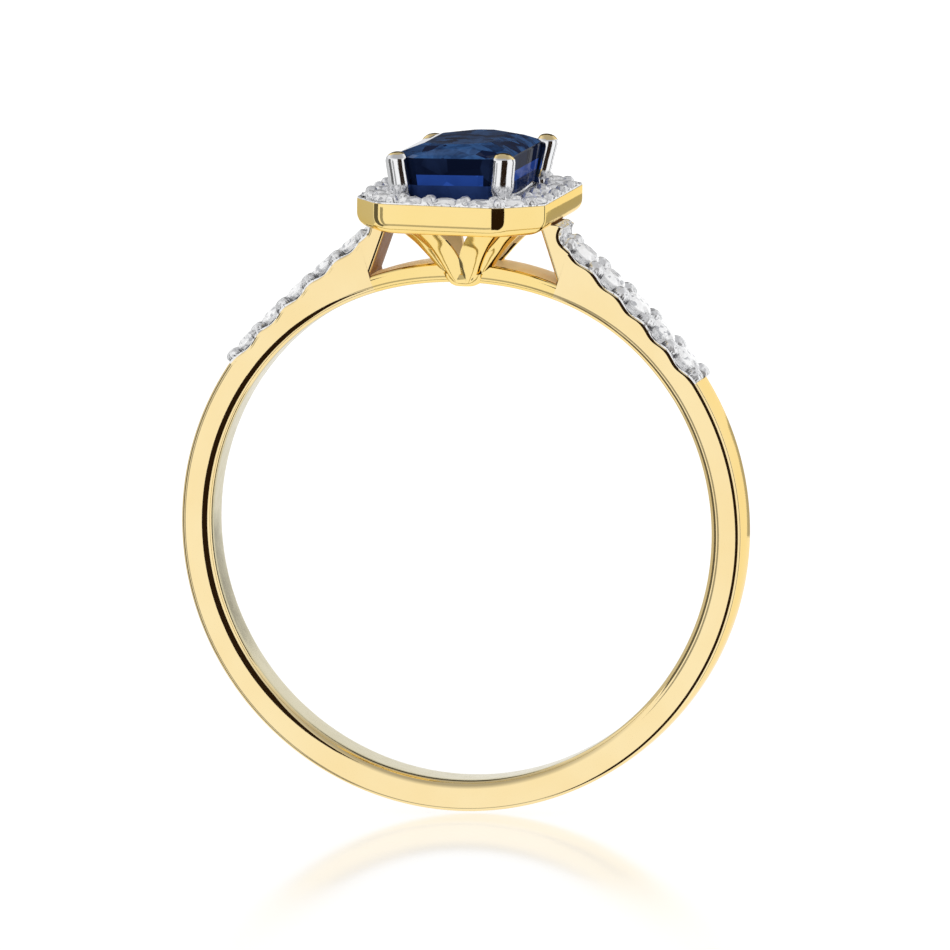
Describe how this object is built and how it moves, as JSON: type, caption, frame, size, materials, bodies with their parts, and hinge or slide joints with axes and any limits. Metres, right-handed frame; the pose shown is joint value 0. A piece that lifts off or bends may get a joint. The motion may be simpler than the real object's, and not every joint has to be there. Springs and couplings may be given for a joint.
{
  "type": "engagement ring",
  "caption": "Cathedral halo ring: a yellow-gold band whose stone-set shoulders rise to an octagonal halo round an emerald-cut blue sapphire in claws.",
  "frame": {"origin": "centre of the finger hole, half way along its width", "axes": "+Z from the hole's centre up to the sapphire, +Y along the finger, away from the viewer; +X across the ring, to the viewer's right"},
  "size_m": [0.019, 0.0088, 0.0225],
  "materials": {
    "yellow_gold": "mirror-polished 14 ct yellow gold",
    "white_rhodium": "rhodium-plated white, polished",
    "sapphire": "faceted, polished, dark royal blue",
    "diamond": "faceted, polished, colourless"
  },
  "bodies": {
    "root": {"shank": "yellow_gold", "shoulder_left": "yellow_gold", "bridge_left": "yellow_gold", "pave_rail_left": "white_rhodium", "shoulder_diamond_left_1": "diamond", "shoulder_diamond_left_2": "diamond", "shoulder_diamond_left_3": "diamond", "shoulder_diamond_left_4": "diamond", "shoulder_diamond_left_5": "diamond", "shoulder_right": "yellow_gold", "bridge_right": "yellow_gold", "pave_rail_right": "white_rhodium", "shoulder_diamond_right_1": "diamond", "shoulder_diamond_right_2": "diamond", "shoulder_diamond_right_3": "diamond", "shoulder_diamond_right_4": "diamond", "shoulder_diamond_right_5": "diamond", "basket": "yellow_gold", "halo_tray": "yellow_gold", "halo_pave_plate": "white_rhodium", "stone_seat": "white_rhodium", "sapphire": "sapphire", "claw_front_left": "white_rhodium", "claw_front_right": "white_rhodium", "claw_back_right": "white_rhodium", "claw_back_left": "white_rhodium", "halo_diamond_01": "diamond", "halo_diamond_02": "diamond", "halo_diamond_03": "diamond", "halo_diamond_04": "diamond", "halo_diamond_05": "diamond", "halo_diamond_06": "diamond", "halo_diamond_07": "diamond", "halo_diamond_08": "diamond", "halo_diamond_09": "diamond", "halo_diamond_10": "diamond", "halo_diamond_11": "diamond", "halo_diamond_12": "diamond", "halo_diamond_13": "diamond", "halo_diamond_14": "diamond", "halo_diamond_15": "diamond", "halo_diamond_16": "diamond", "halo_diamond_17": "diamond", "halo_diamond_18": "diamond", "halo_diamond_19": "diamond", "halo_diamond_20": "diamond"}
  },
  "joints": []
}
